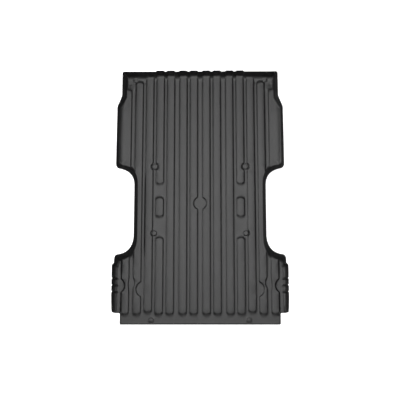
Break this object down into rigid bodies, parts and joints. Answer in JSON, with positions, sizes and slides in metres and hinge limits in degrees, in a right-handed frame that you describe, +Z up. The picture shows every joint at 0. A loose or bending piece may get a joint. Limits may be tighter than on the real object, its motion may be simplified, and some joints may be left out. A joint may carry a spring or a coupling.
{
  "type": "truck bed liner",
  "caption": "Drop-in pickup bed liner: a ribbed one-piece moulded sheet with low front and side walls, wheel-house cut-ins and a turned-down tail edge, on lift-off fastener pads.",
  "frame": {"origin": "on the bed floor, at the middle of the liner's length and width", "axes": "+X to the truck's right-hand side, +Y towards the cab along the ribs, +Z up"},
  "size_m": [1.697, 2.5232, 0.11],
  "materials": {
    "liner_polymer": "fine-grained matte black thermoplastic",
    "fastener_plastic": "smooth black plastic with short mushroom-headed stems",
    "release_film": "thin cream release film, slightly glossy"
  },
  "bodies": {
    "bed_side": {"bed_pad_front_inner_left": "fastener_plastic", "bed_pad_front_inner_right": "fastener_plastic", "bed_pad_front_middle_left": "fastener_plastic", "bed_pad_front_middle_right": "fastener_plastic", "bed_pad_rear_middle_left": "fastener_plastic", "bed_pad_rear_middle_right": "fastener_plastic", "bed_pad_rear_inner_left": "fastener_plastic", "bed_pad_rear_inner_right": "fastener_plastic", "bed_pad_front_outer_left": "fastener_plastic", "bed_pad_front_outer_right": "fastener_plastic", "bed_pad_rear_outer_left": "fastener_plastic", "bed_pad_rear_outer_right": "fastener_plastic", "release_film_front_inner_left": "release_film", "release_film_front_inner_right": "release_film", "release_film_front_middle_left": "release_film", "release_film_front_middle_right": "release_film", "release_film_rear_middle_left": "release_film", "release_film_rear_middle_right": "release_film", "release_film_rear_inner_left": "release_film", "release_film_rear_inner_right": "release_film", "release_film_front_outer_left": "release_film", "release_film_front_outer_right": "release_film", "release_film_rear_outer_left": "release_film", "release_film_rear_outer_right": "release_film"},
    "liner_side": {"liner": "liner_polymer", "liner_pad_front_inner_left": "fastener_plastic", "liner_pad_front_inner_right": "fastener_plastic", "liner_pad_front_middle_left": "fastener_plastic", "liner_pad_front_middle_right": "fastener_plastic", "liner_pad_rear_middle_left": "fastener_plastic", "liner_pad_rear_middle_right": "fastener_plastic", "liner_pad_rear_inner_left": "fastener_plastic", "liner_pad_rear_inner_right": "fastener_plastic", "liner_pad_front_outer_left": "fastener_plastic", "liner_pad_front_outer_right": "fastener_plastic", "liner_pad_rear_outer_left": "fastener_plastic", "liner_pad_rear_outer_right": "fastener_plastic"}
  },
  "joints": [
    {"name": "liner_lift_off", "type": "slide", "parent": "bed_side", "child": "liner_side", "axis": [0, 0, 1], "range_m": [0, 0.15]}
  ]
}
